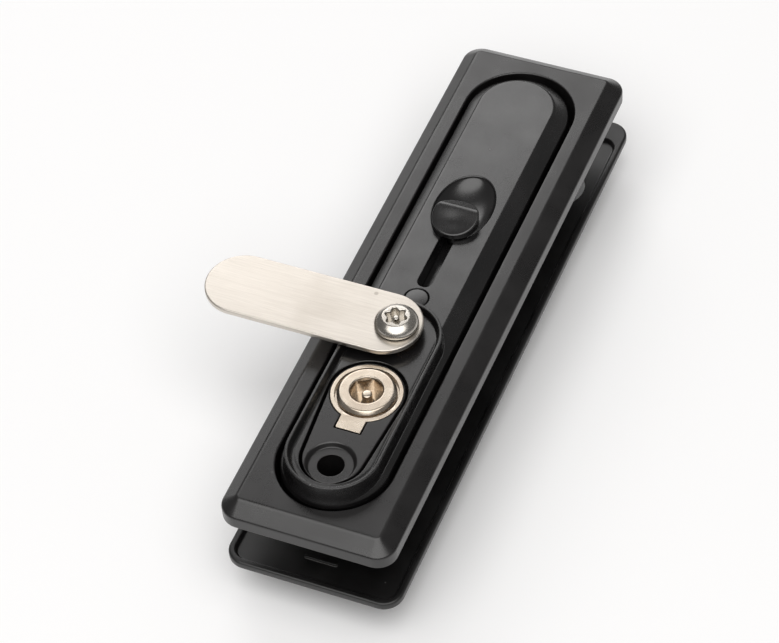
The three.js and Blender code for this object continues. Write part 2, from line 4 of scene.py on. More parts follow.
import bmesh
import bpy
import numpy as np
from mathutils import Matrix, Vector


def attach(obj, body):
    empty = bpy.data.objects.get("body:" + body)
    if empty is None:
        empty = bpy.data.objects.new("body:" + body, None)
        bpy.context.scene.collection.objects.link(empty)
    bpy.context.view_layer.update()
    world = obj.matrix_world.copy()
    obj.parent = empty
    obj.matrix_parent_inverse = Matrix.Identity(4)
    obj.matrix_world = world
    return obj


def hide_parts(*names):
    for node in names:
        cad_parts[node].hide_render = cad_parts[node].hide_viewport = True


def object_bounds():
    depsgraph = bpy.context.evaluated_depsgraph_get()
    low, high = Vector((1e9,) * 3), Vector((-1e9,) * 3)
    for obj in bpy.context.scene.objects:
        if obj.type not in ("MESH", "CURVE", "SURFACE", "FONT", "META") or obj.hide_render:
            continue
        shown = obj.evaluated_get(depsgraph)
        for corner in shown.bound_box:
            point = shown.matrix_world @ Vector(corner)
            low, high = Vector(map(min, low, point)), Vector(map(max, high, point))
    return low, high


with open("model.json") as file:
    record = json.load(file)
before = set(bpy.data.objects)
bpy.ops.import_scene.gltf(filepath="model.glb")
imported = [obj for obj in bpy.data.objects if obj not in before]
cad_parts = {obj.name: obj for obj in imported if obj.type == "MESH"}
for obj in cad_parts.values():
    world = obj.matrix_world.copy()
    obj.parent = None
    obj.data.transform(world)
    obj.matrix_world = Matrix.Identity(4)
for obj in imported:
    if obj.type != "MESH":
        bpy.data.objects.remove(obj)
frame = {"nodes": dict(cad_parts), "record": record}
cadLow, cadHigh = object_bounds()
bodyOf = {node: body for body, nodes in frame["record"]["behaviour"]["bodies"].items() for node in nodes}
mm = 0.001  # shapes are worked out in millimetres, and meshes are in metres
print("frame loaded with", len(frame["nodes"]), "nodes")

# Camera, floor and lights

view = {
    "place": (0.18992, -0.41130, 0.51051),
    "right": (0.92450, 0.37643, -0.05999),
    "up": (-0.24799, 0.71348, 0.65532),
    "back": (0.28949, -0.59096, 0.75297),
    "lens": 140.3,
    "sensor": 36,
    "clip": (0.01, 50),
}
studio = {
    "floorSize": 3.2,
    "floorCorner": 100, "floorThick": 20, "floorGap": 0.05,  # millimetres
    "floorColour": (0.93, 0.93, 0.935, 1),
    "floorLight": (0.95, 0.95, 0.955, 1),
    "skyColour": (1.0, 0.99, 0.98, 1),
    "skyStrength": 0.2,  # what lights and reflects; the sky behind the floor is seen pale
    "seenSky": 0.94,
    # name, direction from the object, distance, width, power, colour
    "lamps": [
        ("backSoftbox", (-0.41, 0.72, 0.56), 1.3, 0.84, 4.3, (1.0, 0.99, 0.985)),
        ("overheadSoftbox", (0.13, -0.42, 1.0), 2.0, 2.8, 47, (1.0, 0.992, 0.98)),
    ],
}


def makeCamera():
    data = bpy.data.cameras.new("camera")
    data.lens = view["lens"]
    data.sensor_width = view["sensor"]
    data.clip_start, data.clip_end = view["clip"]
    camera = bpy.data.objects.new("camera", data)
    turn = Matrix((view["right"], view["up"], view["back"])).transposed().to_4x4()
    camera.matrix_world = Matrix.Translation(view["place"]) @ turn
    bpy.context.scene.collection.objects.link(camera)
    bpy.context.scene.camera = camera


def makeLamp(name, direction, distance, width, power, colour):
    data = bpy.data.lights.new(name, "AREA")
    data.shape, data.size = "DISK", width
    data.energy, data.color = power, colour
    lamp = bpy.data.objects.new(name, data)
    aim = Vector(direction).normalized()
    lamp.location = (cadLow + cadHigh) / 2 + aim * distance
    lamp.rotation_euler = aim.to_track_quat("Z", "Y").to_euler()
    bpy.context.scene.collection.objects.link(lamp)


def makeSky():
    world = bpy.data.worlds.new("sky")
    world.use_nodes = True
    tree = world.node_tree
    light = tree.nodes["Background"]
    light.inputs["Color"].default_value = studio["skyColour"]
    ray = tree.nodes.new("ShaderNodeLightPath")
    strength = tree.nodes.new("ShaderNodeMix")
    strength.inputs["A"].default_value = studio["skyStrength"]
    strength.inputs["B"].default_value = studio["seenSky"]
    tree.links.new(ray.outputs["Is Camera Ray"], strength.inputs["Factor"])
    tree.links.new(strength.outputs["Result"], light.inputs["Strength"])
    bpy.context.scene.world = world
    # Plain whites and deep blacks, as studio pictures have
    bpy.context.scene.view_settings.view_transform = "Standard"


makeCamera()
makeSky()
for lamp in studio["lamps"]:
    makeLamp(*lamp)
print("camera and lights placed")

# Shapes: outlines of four arcs, and profiles carried round them


def fourArcs(centres, radii, angles, steps):
    # A point of an outline is its arc's centre plus its radius along the arc's direction
    turn = np.radians(np.concatenate([np.linspace(a, b, steps + 1) for a, b in angles]))
    heart = np.repeat(np.array(centres, float), steps + 1, axis=0)
    radius = np.repeat(np.array(radii, float), steps + 1)
    return heart, radius, np.column_stack([np.cos(turn), np.sin(turn)])


def roundedBox(x0, x1, y0, y1, r, steps=16):
    # Four equal arcs at the corners; a stadium or a circle when the radius fills the box
    centres = [(x1 - r, y1 - r), (x0 + r, y1 - r), (x0 + r, y0 + r), (x1 - r, y0 + r)]
    return fourArcs(centres, [r] * 4, [(0, 90), (90, 180), (180, 270), (270, 360)], steps)


def point(x, y, steps=16):
    # An outline of no size, so that a profile's offset is its radius
    return roundedBox(x, x, y, y, 0, steps)


def teardrop(x, upperY, upperR, lowerY, lowerR, steps=20):
    # Two circles on one line with straight sides tangent to both
    lean = math.degrees(math.asin((upperR - lowerR) / abs(upperY - lowerY)))
    centres = [(x, upperY), (x, upperY), (x, lowerY), (x, lowerY)]
    angles = [(-lean, 90), (90, 180 + lean), (180 + lean, 270), (270, 360 - lean)]
    return fourArcs(centres, [upperR, upperR, lowerR, lowerR], angles, steps)


def tabbedCircle(y, r, tabHalf, tabReach, corner, steps=24):
    # A circle whose lowest arc gives way to a square tab
    gap = math.degrees(math.asin(tabHalf / r))
    side, low = tabHalf - corner, y - tabReach + corner
    centres = [(0, y), (0, y), (-side, low), (side, low)]
    angles = [(-90 + gap, 90), (90, 270 - gap), (180, 270), (270, 360)]
    return fourArcs(centres, [r, r, corner, corner], angles, steps)


def waved(x, y, wave, steps=24):
    # An outline whose radius is a function of its angle, such as a hexagon or a ring of lobes
    heart, radius, direction = point(x, y, steps)
    angle = np.arctan2(direction[:, 1], direction[:, 0])
    return heart, wave(angle), direction


def hexagon(x, y, r, steps=24):
    # Distance to a flat side is the corner radius times cos 30, over the cosine from the side's middle
    def wave(angle):
        return r * math.cos(math.pi / 6) / np.cos((angle + math.pi / 6) % (math.pi / 3) - math.pi / 6)

    return waved(x, y, wave, steps)


def eased(corners, steps=4):
    # A profile of (offset, height, ease) corners: an eased corner is a quadratic curve between two points
    # that lie the ease before and after it
    spots = np.array([c[:2] for c in corners], float)
    along = np.linspace(0, 1, steps + 1)[:, None]
    runs = [spots[:1]]
    for before, spot, after, ease in zip(spots[:-2], spots[1:-1], spots[2:], [c[2] for c in corners[1:-1]]):
        if not ease:
            runs.append(spot[None])
            continue
        start = spot + (before - spot) / np.linalg.norm(before - spot) * ease
        end = spot + (after - spot) / np.linalg.norm(after - spot) * ease
        runs.append((1 - along) ** 2 * start + 2 * along * (1 - along) * spot + along**2 * end)
    return np.vstack(runs + [spots[-1:]])


def mouth(offset, low, top, size):
    # A cutter's profile whose upper end flares, so that the edge it leaves is rounded
    along = np.linspace(0, 1, 5)
    flare = np.column_stack([offset + size * along**2, top - size + 1.06 * size * (2 * along - along**2)])
    return np.vstack([[(offset, low)], flare, [(offset + size, top + 6)]])


def carried(outline, profile):
    # Row i, column j is the outline's point j, pushed out by the profile's offset i and at its height i
    heart, radius, direction = outline
    offset, height = np.array(profile, float).T
    flat = heart + (radius + offset[:, None])[..., None] * direction
    tall = np.broadcast_to(height[:, None, None], flat.shape[:2] + (1,))
    return np.concatenate([flat, tall], axis=2)


def lying(rows):
    # Turns upright rows to lie along X: height becomes X, and the outline's X and Y become Y and Z
    return rows[..., [2, 0, 1]]


# Metres, and radians for the last
weld = {"gap": 1e-7, "sliver": 1e-8, "cutGap": 2e-6, "cutSliver": 2e-6, "flat": 5e-4}


def welded(mesh, gap, sliver, flat=0):
    # Merges points closer than the gap, splits faces of many sides, takes out slivers, joins neighbours
    # again where they meet at less than `flat`, and points all faces outwards
    work = bmesh.new()
    work.from_mesh(mesh)
    bmesh.ops.remove_doubles(work, verts=work.verts, dist=gap)
    bmesh.ops.triangulate(work, faces=[face for face in work.faces if len(face.verts) > 4])
    bmesh.ops.dissolve_degenerate(work, edges=work.edges, dist=sliver)
    if flat:
        bmesh.ops.dissolve_limit(work, angle_limit=flat, verts=work.verts, edges=work.edges)
    bmesh.ops.recalc_face_normals(work, faces=work.faces)
    work.to_mesh(mesh)
    work.free()


def skin(name, *parts, loop=False):
    # Joins rows into a closed surface: capped at both ends, or run round into a loop
    rows = np.concatenate(parts)
    count, around = rows.shape[:2]
    index = np.arange(count * around).reshape(count, around)
    ladder = np.vstack([index, index[:1]]) if loop else index
    beside = np.roll(ladder, -1, axis=1)
    faces = np.stack([ladder[:-1], beside[:-1], beside[1:], ladder[1:]], axis=-1).reshape(-1, 4).tolist()
    if not loop:
        faces += [index[0, ::-1].tolist(), index[-1].tolist()]
    mesh = bpy.data.meshes.new(name)
    mesh.from_pydata((rows.reshape(-1, 3) * mm).tolist(), [], faces)
    welded(mesh, weld["gap"], weld["sliver"])
    piece = bpy.data.objects.new(name, mesh)
    bpy.context.scene.collection.objects.link(piece)
    return piece


def block(name, x0, x1, y0, y1, z0, z1, corner=0.2):
    return skin(name, carried(roundedBox(x0, x1, y0, y1, corner, 3), [(0, z0), (0, z1)]))


def drill(name, x, y, r, z0, z1, steps=12):
    return skin(name, carried(point(x, y, steps), [(r, z0), (r, z1)]))


def cut(piece, *cutters):
    # Takes the cutters out of a piece and leaves the plain mesh
    for cutter in cutters:
        change = piece.modifiers.new("cut", "BOOLEAN")
        change.operation, change.solver, change.object = "DIFFERENCE", "EXACT", cutter
    seen = piece.evaluated_get(bpy.context.evaluated_depsgraph_get())
    mesh = bpy.data.meshes.new_from_object(seen)
    welded(mesh, weld["cutGap"], weld["cutSliver"], weld["flat"])
    piece.modifiers.clear()
    piece.data = mesh
    return piece


def discard(*pieces):
    for piece in pieces:
        bpy.data.objects.remove(piece)


def joined(name, *pieces):
    work = bmesh.new()
    for piece in pieces:
        work.from_mesh(piece.data)
    mesh = bpy.data.meshes.new(name)
    work.to_mesh(mesh)
    work.free()
    discard(*pieces)
    whole = bpy.data.objects.new(name, mesh)
    bpy.context.scene.collection.objects.link(whole)
    return whole


def fitted(piece, node, finish, sharp=38):
    # Shades a piece, and sets it in place of its CAD node
    mesh = piece.data
    mesh.materials.clear()
    mesh.materials.append(finish)
    mesh.polygons.foreach_set("use_smooth", np.ones(len(mesh.polygons), bool))
    mesh.set_sharp_from_angle(angle=math.radians(sharp))
    weighted = piece.modifiers.new("flatFaces", "WEIGHTED_NORMAL")
    weighted.keep_sharp = True
    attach(piece, bodyOf[node])
    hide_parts(node)


# Finishes: values in a material are written as expressions


class Signal:
    # One shader value; arithmetic on it adds Math nodes
    def __init__(self, finish, socket):
        self.finish, self.socket = finish, socket

    def math(self, operation, first, second):
        return self.finish.node("ShaderNodeMath", {"operation": operation}, {0: first, 1: second})

    def __add__(self, other):
        return self.math("ADD", self, other)

    def __sub__(self, other):
        return self.math("SUBTRACT", self, other)

    def __rsub__(self, other):
        return self.math("SUBTRACT", other, self)

    def __mul__(self, other):
        return self.math("MULTIPLY", self, other)

    __radd__, __rmul__ = __add__, __mul__


class Finish:
    # A material and the few kinds of node that its surfaces use
    def __init__(self, name, **constants):
        self.material = bpy.data.materials.new(name)
        self.material.use_nodes = True
        self.tree = self.material.node_tree
        self.shader = self.tree.nodes["Principled BSDF"]
        self.place = self.node("ShaderNodeTexCoord", output="Object")
        for socket, value in constants.items():
            self.feed(self.shader.inputs[socket], value)

    def node(self, kind, settings=None, inputs=None, output=0):
        made = self.tree.nodes.new(kind)
        for key, value in (settings or {}).items():
            setattr(made, key, value)
        for key, value in (inputs or {}).items():
            self.feed(made.inputs[key], value)
        return Signal(self, made.outputs[output])

    def feed(self, socket, value):
        if isinstance(value, Signal):
            self.tree.links.new(value.socket, socket)
        else:
            socket.default_value = value

    def noise(self, size, detail=3.0, stretch=(1, 1, 1)):
        # Noise whose features are about `size` millimetres
        spread = self.node("ShaderNodeMapping", None, {"Vector": self.place, "Scale": stretch})
        inputs = {"Vector": spread, "Scale": 1 / (size * mm), "Detail": detail}
        return self.node("ShaderNodeTexNoise", None, inputs)

    def between(self, value, low, high):
        # 0 below low, 1 above high
        return self.node("ShaderNodeMapRange", None, {"Value": value, "From Min": low, "From Max": high})

    def blend(self, amount, first, second):
        return self.node("ShaderNodeMix", {"data_type": "RGBA"}, {0: amount, 6: first, 7: second}, 2)

    def specks(self, spacing, size, share):
        # Round specks: one in some of the cells, with a radius of `size` of the cell
        cells = {"Vector": self.place, "Scale": 1 / (spacing * mm)}
        away = self.node("ShaderNodeTexVoronoi", None, cells, "Distance")
        tint = self.node("ShaderNodeTexVoronoi", None, cells, "Color")
        chance = self.node("ShaderNodeSeparateColor", None, {"Color": tint})
        return (1 - self.between(away, size * 0.5, size)) * self.between(chance, 1 - share, 1.02 - share)

    def edges(self, radius):
        # The surface's direction with its edges rounded, and how far that turns it
        soft = self.node("ShaderNodeBevel", {"samples": 6}, {"Radius": radius * mm})
        true = self.node("ShaderNodeNewGeometry", output="Normal")
        same = self.node("ShaderNodeVectorMath", {"operation": "DOT_PRODUCT"}, {0: soft, 1: true}, "Value")
        return soft, 1 - same

    def surface(self, colour, roughness, height, depth, normal, metallic=None):
        # Sends what varies to the shader; `depth` is the relief in millimetres
        self.feed(self.shader.inputs["Base Color"], colour)
        self.feed(self.shader.inputs["Roughness"], roughness)
        if metallic is not None:
            self.feed(self.shader.inputs["Metallic"], metallic)
        relief = {"Strength": 1.0, "Distance": depth * mm, "Height": height, "Normal": normal}
        self.feed(self.shader.inputs["Normal"], self.node("ShaderNodeBump", None, relief))
        return self.material


def coated(name, look):
    # Black coat: fine orange peel, smudges that change its sheen, dust specks, and edges rubbed through
    finish = Finish(name, **{"Specular IOR Level": look["shine"]})
    peel, grain, broad = finish.noise(look["peel"]), finish.noise(look["grain"], 4), finish.noise(24, 4)
    smudge = finish.between(finish.noise(7, 5), 0.35, 0.7)
    dust = finish.specks(5.5, 0.03, 0.4)
    soft, turned = finish.edges(look["edge"])
    rubbed = finish.between(turned + (finish.noise(1.6, 5) - 0.5) * 0.16, 0.05, 0.3) * look["wear"]
    colour = finish.blend(broad * 0.5 + smudge * 0.5, look["dark"], look["light"])
    colour = finish.blend(rubbed, colour, (0.16, 0.155, 0.15, 1))
    colour = finish.blend(dust * 0.5, colour, (0.3, 0.3, 0.3, 1))
    sheen = look["rough"] + (broad - 0.5) * 0.16 + (smudge - 0.5) * 0.07 + (grain - 0.5) * 0.12
    sheen = sheen + dust * 0.3 - rubbed * 0.08
    return finish.surface(colour, sheen, peel * 0.6 + grain * 0.4, look["relief"], soft, rubbed * 0.5)


def plated(name, look):
    # Bright plate: slight waviness, pits, darker metal in the recesses of the grain, and a painted highlight
    # along its rounded edges
    finish = Finish(name, Metallic=1.0)
    grain, broad = finish.noise(look["grain"], 5), finish.noise(5, 4)
    pits = finish.specks(look["pitSpacing"], 0.1, 0.5)
    soft, turned = finish.edges(look["edge"])
    # Mask of the rounded edges, where a highlight is painted
    paintedEdgeShading = finish.between(turned, 0.02, 0.3)
    colour = finish.blend(finish.between(broad, 0.3, 0.75), look["dark"], look["light"])
    colour = finish.blend(pits * 0.7, colour, (0.1, 0.085, 0.07, 1))
    # Painted highlight: the rounded edges are coloured towards near-white
    colour = finish.blend(paintedEdgeShading * 0.4, colour, (0.86, 0.84, 0.8, 1))
    sheen = look["rough"] + (broad - 0.5) * 0.16 + (grain - 0.5) * 0.16 + pits * 0.3
    return finish.surface(colour, sheen, grain - pits, look["relief"], soft)


def brushed(name, look):
    # Brushed sheet: long scratches along one direction, faint stains, and rounded edges darkened with
    # painted shade
    finish = Finish(name, Metallic=1.0)
    lines = finish.noise(look["line"], 4, look["stretch"])
    strokes = finish.noise(look["line"] * 5, 3, look["stretch"])
    broad, stain = finish.noise(13, 4), finish.specks(7, 0.09, 0.25)
    soft, turned = finish.edges(look["edge"])
    # Mask of the rounded edges, where shade is painted
    paintedEdgeShading = finish.between(turned, 0.03, 0.3)
    colour = finish.blend(finish.between(lines * 0.6 + strokes * 0.4, 0.3, 0.7), look["dark"], look["light"])
    colour = finish.blend(finish.between(broad, 0.5, 0.8) * 0.25, colour, (0.42, 0.37, 0.31, 1))
    colour = finish.blend(stain * 0.5, colour, (0.2, 0.17, 0.14, 1))
    # Painted shade: the rounded edges are coloured darker
    colour = finish.blend(paintedEdgeShading * 0.55, colour, (0.25, 0.225, 0.195, 1))
    sheen = look["rough"] + (lines - 0.5) * 0.24 + (strokes - 0.5) * 0.1 + (broad - 0.5) * 0.1
    return finish.surface(colour, sheen, lines * 0.7 + strokes * 0.3, look["relief"], soft)


def moulded(name, look):
    # Moulded plastic or rubber: even matt grain with a slightly polished edge
    finish = Finish(name)
    grain, broad = finish.noise(look["grain"], 4), finish.noise(12, 4)
    soft, turned = finish.edges(look["edge"])
    rubbed = finish.between(turned, 0.05, 0.4)
    colour = finish.blend(broad * 0.7 + rubbed * 0.3, look["dark"], look["light"])
    sheen = look["rough"] + (grain - 0.5) * 0.12 + (broad - 0.5) * 0.1 - rubbed * 0.12
    return finish.surface(colour, sheen, grain, look["relief"], soft)


finishes = {
    "frameCoat": coated("frameCoat", {
        "dark": (0.0034, 0.0030, 0.0031, 1), "light": (0.0125, 0.0114, 0.0116, 1), "rough": 0.31,
        "peel": 0.9, "grain": 0.28, "relief": 0.006, "edge": 0.22, "shine": 0.68, "wear": 0.5,
    }),
    "leverCoat": coated("leverCoat", {
        "dark": (0.0027, 0.0025, 0.0026, 1), "light": (0.0095, 0.0089, 0.0092, 1), "rough": 0.24,
        "peel": 1.1, "grain": 0.3, "relief": 0.003, "edge": 0.2, "shine": 0.78, "wear": 0.45,
    }),
    "plateCoat": coated("plateCoat", {
        "dark": (0.0035, 0.0034, 0.0034, 1), "light": (0.0085, 0.0082, 0.0082, 1), "rough": 0.38,
        "peel": 0.8, "grain": 0.25, "relief": 0.009, "edge": 0.25, "shine": 0.6, "wear": 0.55,
    }),
    "nickelPlate": plated("nickelPlate", {
        "dark": (0.52, 0.44, 0.355, 1), "light": (0.70, 0.62, 0.52, 1), "rough": 0.24,
        "grain": 0.2, "pitSpacing": 1.3, "relief": 0.002, "edge": 0.1,
    }),
    "screwPlate": plated("screwPlate", {
        "dark": (0.46, 0.43, 0.39, 1), "light": (0.68, 0.65, 0.60, 1), "rough": 0.27,
        "grain": 0.25, "pitSpacing": 1.1, "relief": 0.004, "edge": 0.12,
    }),
    "zincPlate": plated("zincPlate", {
        "dark": (0.40, 0.40, 0.39, 1), "light": (0.56, 0.555, 0.54, 1), "rough": 0.36,
        "grain": 0.35, "pitSpacing": 1.8, "relief": 0.004, "edge": 0.2,
    }),
    "bearingBronze": plated("bearingBronze", {
        "dark": (0.38, 0.24, 0.11, 1), "light": (0.55, 0.38, 0.19, 1), "rough": 0.42,
        "grain": 0.3, "pitSpacing": 0.8, "relief": 0.005, "edge": 0.15,
    }),
    "brushedSheet": brushed("brushedSheet", {
        "dark": (0.52, 0.48, 0.43, 1), "light": (0.72, 0.675, 0.615, 1), "rough": 0.34,
        "line": 0.16, "stretch": (0.03, 1, 1), "relief": 0.003, "edge": 0.25,
    }),
    "mouldedBlack": moulded("mouldedBlack", {
        "dark": (0.007, 0.007, 0.0072, 1), "light": (0.016, 0.016, 0.0165, 1), "rough": 0.58,
        "grain": 0.3, "relief": 0.012, "edge": 0.25,
    }),
    "sealRubber": moulded("sealRubber", {
        "dark": (0.008, 0.008, 0.008, 1), "light": (0.018, 0.018, 0.018, 1), "rough": 0.8,
        "grain": 0.4, "relief": 0.01, "edge": 0.1,
    }),
}
print("finishes made:", len(finishes))


def makeFloor():
    # A pale sheet just under the lowest piece
    paper = Finish("floorPaper", Roughness=0.9)
    tone = paper.blend(paper.noise(180, 3), studio["floorColour"], studio["floorLight"])
    paper.feed(paper.shader.inputs["Base Color"], tone)
    reach = studio["floorSize"] / mm / 2
    top = cadLow.z / mm - studio["floorGap"]
    outline = roundedBox(-reach, reach, -reach, reach, studio["floorCorner"], 6)
    floor = skin("floor", carried(outline, [(0, top - studio["floorThick"]), (0, top)]))
    floor.data.materials.append(paper.material)


makeFloor()
print("floor made")

# Housing: the framed tub, the lock boss in it and the posts behind it

housing = {
    "topHalf": 16.5, "topLength": 71.5, "topCorner": 1.0,  # flat face, before its chamfer
    "inset": 3.5, "wall": 3.1, "face": 5.7,
    "tubHalf": 13.1, "tubUpper": 54.9, "tubLower": -55.4, "tubWall": 1.2, "tubFloor": -4, "tubUnder": -6,
    "lockY": -37.8, "boreR": 7.1, "seatFloor": 7.3, "holeY": -58, "holeR": 2.95,
    "root": -5.5,  # where what stands behind the tub starts, inside its floor
    "postR": 3, "postBore": 1.9, "postEnd": -14,
    "posts": [(-9.6, -12), (9.6, -12), (-9.6, 18), (9.6, 18)],
    "pivotY": 53.6, "hubR": 6.3, "hubBore": 5.3, "hubEnd": -15.5, "collarR": 5,
}
boss = {"upperR": 8.3, "lowerY": -56.4, "lowerR": 6.75, "top": 8.5, "clear": 0.6}


def stadiumBox(half, lower, upper, steps=24):
    return roundedBox(-half, half, lower - half, upper + half, half, steps)


def bossOutline():
    return teardrop(0, housing["lockY"], boss["upperR"], boss["lowerY"], boss["lowerR"], 24)


def makeHousing():
    h, face = housing, housing["face"]
    outer = stadiumBox(h["tubHalf"] + h["tubWall"], h["tubLower"], h["tubUpper"])
    inner = stadiumBox(h["tubHalf"], h["tubLower"], h["tubUpper"])
    top = roundedBox(-h["topHalf"], h["topHalf"], -h["topLength"], h["topLength"], h["topCorner"], 24)
    out = h["inset"]
    under, tubFloor = h["tubUnder"], h["tubFloor"]
    frameEdge = [(1, 0, 0), (out, 0, 0.25), (out, h["wall"], 0.35), (0, face, 0.5), (-0.8, face, 0)]
    tubEdge = [(1.2, face, 0), (0, face, 0.4), (0, tubFloor, 1), (-3, tubFloor, 0)]
    shell = skin(
        "shell",
        carried(outer, eased([(-4, under, 0), (0, under, 0.6), (0, 0, 0)])),
        carried(top, eased(frameEdge, 5)),
        carried(inner, eased(tubEdge, 5)),
    )
    lockY, holeY, bossTop, base = h["lockY"], h["holeY"], boss["top"], h["tubFloor"] - 0.5
    wall = eased([(-3, base, 0), (0, base, 0), (0, bossTop, 0.25), (-1, bossTop, 0)])
    tower = skin("tower", carried(bossOutline(), wall))
    hole = drill("hole", 0, holeY, h["holeR"], -18, 20, 16)
    bore = drill("bore", 0, lockY, h["boreR"], -8, 20, 20)
    catchSlot = block("catchSlot", -4, 4, -28.6, -20.6, -8, 0, 0.6)
    flangeOutline = tabbedCircle(lockY, 8.15, 3.2, 11.2, 0.3)
    seat = skin("seat", carried(flangeOutline, mouth(0, h["seatFloor"], bossTop, 0.1)))
    # The screw hole's sink: a flat seat, a short cone and a soft lip
    cone = eased([(0.01, 7.5, 0), (4.9, 7.5, 0.15), (5.45, 8.4, 0.12), (5.75, 8.53, 0.1), (5.9, 14, 0)])
    sink = skin("sink", carried(point(0, holeY, 20), cone))
    cut(shell, hole, bore, catchSlot)
    cut(tower, hole, bore, seat, sink)
    discard(hole, bore, catchSlot, seat, sink)
    parts = [shell, tower]
    root, end = h["root"], h["postEnd"]
    for x, y in h["posts"]:
        wall = [(h["postR"], end), (h["postR"], root), (h["postBore"], root), (h["postBore"], end)]
        parts.append(skin("post", carried(point(x, y, 8), wall), loop=True))
    bearing, rim, low = h["hubBore"], h["hubR"], h["hubEnd"]
    hub = eased([(5.5, root, 0), (rim, root, 0), (rim, low, 0.3), (bearing, low, 0.2), (bearing, root, 0)])
    parts.append(skin("hub", carried(point(0, h["pivotY"], 16), hub), loop=True))
    outside, inside = h["collarR"], h["holeR"]
    collar = [(4, root, 0), (outside, root, 0), (outside, end, 0.3), (inside, end, 0.2), (inside, root, 0)]
    parts.append(skin("collar", carried(point(0, holeY, 16), eased(collar)), loop=True))
    fitted(joined("housingShell", *parts), "front_frame", finishes["frameCoat"])


makeHousing()
print("housing made")

# Rear plate: a pressed pan with a beaded rim, a land at its upper end and the hub's window

rearPlate = {
    "half": 20.3, "lower": -74.6, "upper": 76.9, "corner": 4.5, "under": -15.3, "rim": -13.3,
    "panHalf": 18.8, "panLower": -73.1, "panUpper": 70.9, "panCorner": 3.0, "floor": -14.3,
    "windowHalf": 16.3, "windowR": 7, "holeR": 2.1,
    "ribHalf": 3.85, "ribLower": -67.9, "ribUpper": -67.1, "ribCorner": 0.35, "ribTop": -13.75,
}


def makeRearPlate():
    p = rearPlate
    edge = roundedBox(-p["half"], p["half"], p["lower"], p["upper"], p["corner"])
    pan = roundedBox(-p["panHalf"], p["panHalf"], p["panLower"], p["panUpper"], p["panCorner"])
    under, rim, floor = p["under"], p["rim"], p["floor"]
    bead = [(-4, under, 0), (0, under, 0.5), (0, rim, 0.6), (-0.9, rim, 0)]
    groove = [(0.5, rim, 0), (0.05, rim, 0.35), (-0.3, floor, 0.3), (-2.5, floor, 0)]
    plate = skin("plate", carried(edge, eased(bead, 5)), carried(pan, eased(groove)))
    y, r, side = housing["pivotY"], p["windowR"], p["windowHalf"]
    through = [(0, -20), (0, -10)]
    window = skin("window", carried(roundedBox(-side, side, y - r, y + r, r), through))
    holes = [drill("hole", x, y, p["holeR"], -20, -10) for x, y in housing["posts"]]
    holes.append(drill("hole", 0, housing["holeY"], housing["holeR"], -20, -10, 16))
    cut(plate, window, *holes)
    discard(window, *holes)
    bar = roundedBox(-p["ribHalf"], p["ribHalf"], p["ribLower"], p["ribUpper"], p["ribCorner"], 4)
    top = p["ribTop"]
    rib = skin("rib", carried(bar, eased([(0, floor - 0.3, 0), (0, top, 0.2), (-0.3, top, 0)])))
    fitted(joined("rearClampPlate", plate, rib), "rear_clamp_plate", finishes["plateCoat"])


makeRearPlate()
print("rear plate made")

# Lever: a bevelled handle with a raised rim round the lock boss, and the bowl and slot of the thumb slide

lever = {
    "half": 8.9, "lower": -55, "upper": 53.6, "bevel": 3.3, "bevelHeight": 2.9, "top": 8.6, "under": -3.4,
    "rimGap": 0.12,  # how far the rim stands back from the boss opening, so that rim and body share no wall
    "rimHalf": 10.5, "rimLower": -55.9, "rimUpper": -21.9, "rimTop": 10.3,
    "bowlY": 19.8, "bowlHalfX": 6.9, "bowlHalfY": 10.4, "bowlDepth": 3.5, "bowlRise": 0.6,
    "slotHalf": 1.7, "slotLower": -5.5, "slotUpper": 18.5,
    "plugY": -9, "plugR": 2.6, "plugGap": 0.28, "plugFloor": 6.5, "pinZ": 2, "liftAngle": 19,
}


def bowlCutter():
    # The lower part of an ellipsoid with its lip flared; each row is a share of the oval's size
    l, top = lever, lever["top"]
    deep, rise = l["bowlDepth"], l["bowlRise"]
    swing = np.linspace(0.02, math.acos((rise + 0.35) / deep), 22)
    share, height = np.sin(swing), top + rise - deep * np.cos(swing)
    along = np.linspace(0.2, 1, 5)
    share = np.concatenate([share, share[-1] + 0.055 * along**2, [1.1]])
    height = np.concatenate([height, height[-1] + 0.37 * (2 * along - along**2), [top + 5]])
    heart, _, direction = point(0, l["bowlY"], 24)
    size = np.array([l["bowlHalfX"], l["bowlHalfY"]]) * 1.015
    flat = heart + share[:, None, None] * direction * size
    tall = np.broadcast_to(height[:, None, None], flat.shape[:2] + (1,))
    return skin("bowl", np.concatenate([flat, tall], axis=2))


def heelCutter():
    # A block turned about X, under the pivot end
    angle = math.radians(lever["liftAngle"])
    rows = carried(roundedBox(-20, 20, 0, 40, 0.1, 2), [(0, -20), (0, 0)])
    x, y, z = rows[..., 0], rows[..., 1], rows[..., 2]
    c, s = math.cos(angle), math.sin(angle)
    turned = np.stack([x, y * c - z * s, y * s + z * c], -1)
    return skin("heel", turned + np.array([0, lever["upper"] - 1.5, lever["under"]]))


